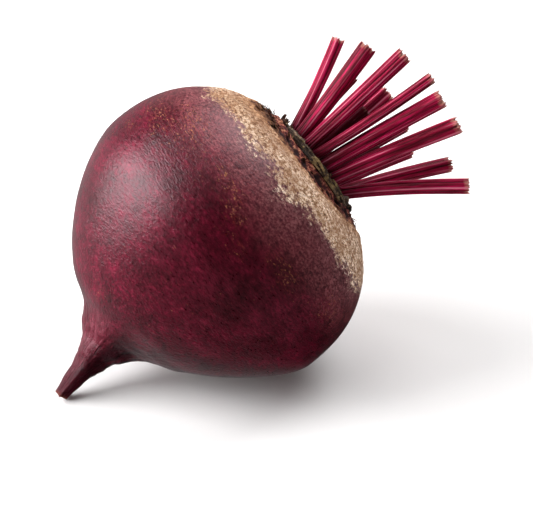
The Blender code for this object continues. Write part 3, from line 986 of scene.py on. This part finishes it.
class SkinFinish(Finish):
    """Dark maroon leathery skin: flushed and darker places, partly painted light and painted shade,
    fine mottles that run round the body, a painted mauve sheen towards the shoulder, ochre flecks,
    tan fibrous cork on the shoulder, a raw scar band with dark pits, and a wrinkled tail."""

    def __init__(self):
        super().__init__("beet_skin_fine")
        self.grain = self.mark("grain", vector=True)
        self.medium = self.noise(self.grain, 620.0, 4.0, 0.62)
        self.fine = self.noise(self.grain, 1500.0, 4.0, 0.66)
        self.tiny = self.noise(self.place, 1500.0, 4.0, 0.65)
        self.streak = self.noise(self.mark("strand", vector=True), 480.0, 4.0, 0.6)
        self.fibre = self.noise(self.grain, 1450.0, 6.0, 0.80)
        self.pores = self.noise(self.place, 1900.0, 4.0, 0.7)
        self.spots = self.ochre_spots()
        self.on_cork = self.cork_share()

    def ochre_spots(self):
        """Fine spots, crowded where the patches are."""
        scatter = self.noise(self.grain, 2000.0, 5.0, 0.70)
        return self.between(self.added(scatter, self.mark("patch"), 0.145), 0.665, 0.715)

    def cork_share(self):
        """Where the cork covers the skin: its band, with an edge frayed by tatters and threads."""
        tatters = self.noise(self.grain, 520.0, 4.0, 0.7)
        tatters = self.added(self.times(self.fine, 0.65), tatters, 0.55)
        threads = self.added(tatters, self.maths("SUBTRACT", self.fibre, 0.5), 0.9)
        frayed = self.between(self.added(threads, self.mark("cork"), 0.56), 0.76, 0.90)
        return self.times(frayed, self.between(self.mark("cork"), 0.01, 0.20))

    def red_skin(self):
        """Maroon, redder where it is flushed and darker in dark places, partly painted light and
        painted shade, with three sizes of mottles.
        """
        broad = self.noise(self.place, 85.0, 5.0, 0.66, 0.3)
        colour = self.ramp(self.added(broad, self.mark("flush_and_painted_shading"), 0.15), *RED_TONES)
        mottles = ((self.medium, 0.72, 1.32), (self.fine, 0.56, 1.55), (self.tiny, 0.76, 1.28))
        for pattern, dark, light in mottles:
            shade = self.ramp(pattern, (0.34, (dark,) * 3), (0.50, WHITE), (0.68, (light,) * 3))
            colour = self.shaded(colour, shade)
        return colour

    def veiled(self, colour):
        """The painted mauve sheen towards the shoulder, and the dusty skin beside the cork."""
        drift = self.between(self.noise(self.grain, 240.0, 5.0, 0.7), 0.36, 0.56, 0.35, 1.0)
        painted_sheen = self.times(self.mark("painted_sheen"), self.between(self.fine, 0.38, 0.58, 0.22, 1.0))
        painted_sheen = self.times(self.times(painted_sheen, drift), 0.92)
        colour = self.mix(painted_sheen, colour, self.ramp(self.tiny, *MAUVE_SHEEN_TONES))
        dusty = self.times(self.mark("dust"), self.between(self.fine, 0.38, 0.58, 0.26, 0.64))
        return self.mix(dusty, colour, self.ramp(self.tiny, *DUSTY_TONES))

    def flecked(self, colour):
        """Russet and ochre flecks."""
        russet = self.between(self.noise(self.grain, 1300.0, 4.0, 0.7), 0.56, 0.68, 0.0, 0.55)
        in_patch = self.between(self.mark("patch"), 0.02, 0.5)
        colour = self.mix(self.times(russet, in_patch), colour, (0.170, 0.020, 0.015))
        return self.mix(self.times(self.spots, 0.72), colour, self.ramp(self.tiny, *OCHRE_TONES))

    def cork(self):
        """Tan fibres with dark pores, darker and browner round the upper side, partly its own tone
        and partly painted shade, browner in warm patches and along the torn lip."""
        tan = self.ramp(self.fibre, *CORK_TONES)
        pores = self.between(self.pores, 0.55, 0.60, 0.0, 0.92)
        tan = self.mix(pores, tan, (0.070, 0.024, 0.012))
        # Darker, browner cork round the upper side, partly painted shade.
        darker_browner_tan = self.shaded(tan, (0.62, 0.52, 0.42))
        tan = self.mix(self.times(self.mark("upper_tone_and_painted_shade"), 0.9), tan, darker_browner_tan)
        warm = self.between(self.noise(self.place, 150.0, 4.0, 0.6), 0.42, 0.62, 0.0, 0.55)
        brown = self.mix(self.fibre, (0.16, 0.06, 0.025), (0.46, 0.23, 0.11))
        tan = self.mix(warm, tan, brown)
        torn = self.times(self.mark("lip"), self.between(self.tiny, 0.38, 0.56, 0.30, 0.95))
        return self.mix(torn, tan, self.ramp(self.fibre, *LIP_TONES))

    def crowned(self, colour):
        """The raw and scaly scar band, its pits, and the crown's table."""
        raw = self.ramp(self.noise(self.place, 700.0, 6.0, 0.78), *RAW_TONES)
        scales = self.ramp(self.noise(self.grain, 800.0, 6.0, 0.78), *SCALY_TONES)
        raw = self.mix(self.mark("scaly"), raw, scales)
        colour = self.mix(self.mark("scar"), colour, raw)
        pit = self.times(self.between(self.mark("pit"), 0.06, 0.30), 0.95)
        colour = self.mix(pit, colour, (0.012, 0.004, 0.005))
        flesh = self.ramp(self.noise(self.place, 420.0, 5.0, 0.70), *TABLE_TONES)
        return self.mix(self.mark("table"), colour, flesh)

    def tailed(self, colour):
        """The streaked tail, with painted light on its lit ridge and painted shade on its facet, and
        its broken tip.
        """
        streaks = self.blend(0.5, self.streak, self.medium)
        # The flush mark paints light on the tail's lit side and shade on its facet.
        dusk = self.ramp(self.added(streaks, self.mark("flush_and_painted_shading"), 0.14), *TAIL_TONES)
        colour = self.mix(self.times(self.mark("tail"), 0.8), colour, dusk)
        return self.mix(self.mark("tip"), colour, self.ramp(self.fine, *TIP_TONES))

    def relief(self, dry):
        """Mottles, wrinkles and pebbles all over, ridges where it is dry, streaks on the tail."""
        normal = self.bump(self.medium, 0.08)
        normal = self.bump(self.noise(self.grain, 1000.0, 4.0, 0.6), 0.16, normal)
        normal = self.bump(self.noise(self.grain, 2300.0, 3.0, 0.6), 0.16, normal)
        ridges = self.maths("ADD", self.fibre, self.tiny)
        ridges = self.maths("SUBTRACT", ridges, self.added(0.75, self.pores, 0.5))
        normal = self.bump(self.times(ridges, dry), 0.19, normal)
        return self.bump(self.times(self.streak, self.mark("tail")), 0.25, normal)

    def made(self):
        """All of it, rough where it is dry and a little rougher under the painted sheen."""
        colour = self.flecked(self.veiled(self.red_skin()))
        colour = self.mix(self.on_cork, colour, self.cork())
        colour = self.tailed(self.crowned(colour))
        crown = self.maths("MAXIMUM", self.mark("scar"), self.times(self.mark("table"), 0.7))
        dry = self.maths("MAXIMUM", self.on_cork, self.maths("MAXIMUM", crown, self.spots))
        rough = self.between(self.fine, 0.3, 0.7, 0.27, 0.37)
        rough = self.blend(dry, self.added(rough, self.mark("painted_sheen"), 0.10), 0.80)
        gloss = {"Specular_IOR_Level": 0.30, "Specular_Tint": (1.0, 0.78, 0.84)}
        return self.done(colour, rough, self.relief(dry), **gloss)


def dried_finish(name, tones, bits, light):
    """Dry plant matter: a ramp of tones that each piece enters at its own place, dark cracks, and
    brighter bits here and there."""
    dried = Finish(name)
    patch = dried.noise(dried.place, 520.0, 4.0, 0.68)
    fine = dried.noise(dried.place, 1400.0, 5.0, 0.72)
    colour = dried.ramp(dried.added(dried.times(patch, 0.62), dried.mark("tone"), 0.42), *tones)
    colour = dried.shaded(colour, dried.ramp(fine, *CRACK_TONES))
    fresh = dried.added(dried.noise(dried.place, 300.0, 4.0, 0.65), dried.mark("tone"), 0.16)
    bright = dried.between(fresh, 0.64, 0.70, 0.0, light)
    colour = dried.mix(bright, colour, dried.ramp(fine, *bits))
    normal = dried.bump(dried.maths("ADD", fine, patch), 0.30)
    return dried.done(colour, 0.78, normal, Specular_IOR_Level=0.30)


def pith_colour(stem):
    """The cut end: pale pith with crumbs and dark strands in it, and a red rim."""
    pith = stem.ramp(stem.cells(stem.place, 760.0), *PITH_TONES)
    pith = stem.shaded(pith, stem.ramp(stem.noise(stem.place, 1800.0, 3.0), *CRUMB_TONES))
    return stem.mix(stem.between(stem.mark("share"), 0.80, 0.97), pith, (0.270, 0.022, 0.055))


def stem_finish():
    """Crimson stems: painted shade in the grooves, painted lilac highlights on the ridges, fine
    streaks along them, painted shade towards the foot and on the heart stems, and a cut end of pale
    pith with a dry ragged rim."""
    stem = Finish("stem_flesh")
    strand = stem.mark("strand", vector=True)
    streak = stem.noise(strand, 2400.0, 4.0, 0.6)
    broad = stem.noise(strand, 600.0, 3.0, 0.5)
    colour = stem.shaded(stem.ramp(broad, *STEM_TONES), stem.ramp(streak, *STREAK_TONES))
    # Painted shade in the grooves between the ribs, and in the finer grooves on them.
    groove_painted_shade = stem.between(stem.mark("rib"), 0.10, 0.50, 0.85, 0.0)
    colour = stem.mix(groove_painted_shade, colour, (0.034, 0.0005, 0.0045))
    fine_groove_painted_shade = stem.between(stem.mark("fine"), 0.15, 0.55, 0.45, 0.0)
    colour = stem.mix(fine_groove_painted_shade, colour, (0.080, 0.0008, 0.010))
    # A painted lilac highlight along the tops of the ribs.
    ridge = stem.between(stem.mark("rib"), 0.965, 1.0)
    ridge = stem.times(ridge, stem.between(broad, 0.40, 0.58))
    colour = stem.mix(stem.times(ridge, 0.62), colour, (0.76, 0.230, 0.340))
    # Painted shade towards the foot.
    colour = stem.shaded(colour, stem.ramp(stem.mark("along"), *FOOT_PAINTED_SHADE_TONES))
    cut = stem.mark("cut")
    colour = stem.mix(cut, colour, pith_colour(stem))
    dry = stem.times(stem.mark("lip"), stem.between(streak, 0.42, 0.58))
    colour = stem.mix(stem.times(dry, 0.85), colour, (0.56, 0.27, 0.20))
    # Painted shade on the heart stems.
    colour = stem.mix(stem.mark("shaded"), colour, (0.040, 0.0010, 0.005))
    rough = stem.blend(cut, stem.between(streak, 0.3, 0.7, 0.32, 0.44), 0.7)
    normal = stem.bump(stem.maths("ADD", streak, stem.noise(strand, 6000.0, 2.0)), 0.14)
    return stem.done(colour, rough, normal, Specular_IOR_Level=0.10)


def floor_finish():
    """A plain pale matt floor that glows faintly, with painted pink bounce light near the root, and
    far from the root as bright as the room.
    """
    floor = Finish("pale_floor")
    soft = floor.noise(floor.place, 4.0, 2.0)
    distance = floor.node("VectorMath", {0: floor.place}, operation="LENGTH")["Value"]
    glow = floor.between(distance, FLOOR_GLOW_START, FLOOR_GLOW_END, 0.05, 0.90)
    return floor.done(
        floor.ramp(soft, *FLOOR_TONES),
        0.75,
        floor.bump(soft, 0.01),
        Specular_IOR_Level=0.2,
        Emission_Strength=glow,
        Emission_Color=floor.ramp(glow, *FLOOR_GLOW_TONES),
    )


def make_floor():
    """A flat square floor at the height that the root rests on."""
    mesh = bpy.data.meshes.new("floor")
    corners = [(-1, -1), (1, -1), (1, 1), (-1, 1)]
    places = [(x * FLOOR_HALF, y * FLOOR_HALF, 0.0) for x, y in corners]
    mesh.from_pydata(places, [], [(0, 1, 2, 3)])
    mesh.materials.append(floor_finish())
    floor = linked("floor", mesh)
    floor.visible_glossy = False


def make_lamp(name, direction, distance, side, power):
    """A soft square lamp that faces the root."""
    lamp = bpy.data.lights.new(name, "AREA")
    lamp.shape = "SQUARE"
    lamp.size = side
    lamp.energy = power
    made = linked(name, lamp)
    back = Vector(direction).normalized()
    made.location = Vector((0.0, 0.0, LAMPED_HEIGHT)) + back * distance
    made.rotation_euler = back.to_track_quat("Z", "Y").to_euler()


def make_room():
    """A room that the camera sees as white. In gloss it goes from dark to bright by direction, and
    on matt surfaces it is a dim fill."""
    world = bpy.data.worlds.new("studio")
    world.use_nodes = True
    room = Nodes(world.node_tree)
    direction = room.node("TexCoord")["Generated"]
    towards = {0: direction, 1: ROOM_BRIGHT_SIDE}
    towards = room.node("VectorMath", towards, operation="DOT_PRODUCT")["Value"]
    gloss = room.between(towards, 0.3, 0.95, ROOM_DARK, ROOM_BRIGHT)
    rays = room.node("LightPath")
    strength = room.blend(rays["Is Diffuse Ray"], gloss, ROOM_FILL)
    strength = room.blend(rays["Is Camera Ray"], strength, 1.0)
    backdrop = world.node_tree.nodes["Background"]
    room.feed(backdrop.inputs["Color"], WHITE)
    room.feed(backdrop.inputs["Strength"], strength)
    bpy.context.scene.world = world


def make_camera():
    """The camera at the photo's angle."""
    camera = bpy.data.cameras.new("camera")
    camera.lens = CAMERA_LENS
    camera.sensor_width = 36.0
    camera.clip_start = 0.01
    made = linked("camera", camera)
    made.location = Vector(CAMERA_PLACE) * MM
    made.rotation_euler = Vector(CAMERA_BACK).to_track_quat("Z", "Y").to_euler()
    bpy.context.scene.camera = made


def ride(piece, slot, *nodes):
    """The piece moves with the root and stands for the nodes. The slot is not used."""
    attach(piece, "root")
    if nodes:
        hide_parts(*nodes)


ride(make_root(SkinFinish().made()), "beet_skin", "root")
base_material = dried_finish("dried_base", BASE_TONES, BASE_BITS, 0.8)
ride(make_ring(base_material), "dried_leaf_base", "leaf_base_ring")
ride(make_straps(base_material), "dried_leaf_base")
ride(make_flakes(dried_finish("dried_scale", SCALE_TONES, SCALE_BITS, 0.5)), "dried_leaf_base")
stem_material = stem_finish()
for stem_number, stem_name in enumerate(STEMS, 1):
    ride(make_stem(stem_name, stem_number, stem_material), "stem_crimson", stem_name)
make_floor()
make_room()
for lamp_name, lamp_values in LAMPS.items():
    make_lamp(lamp_name, *lamp_values)
make_camera()
bpy.context.scene.view_settings.view_transform = "Standard"
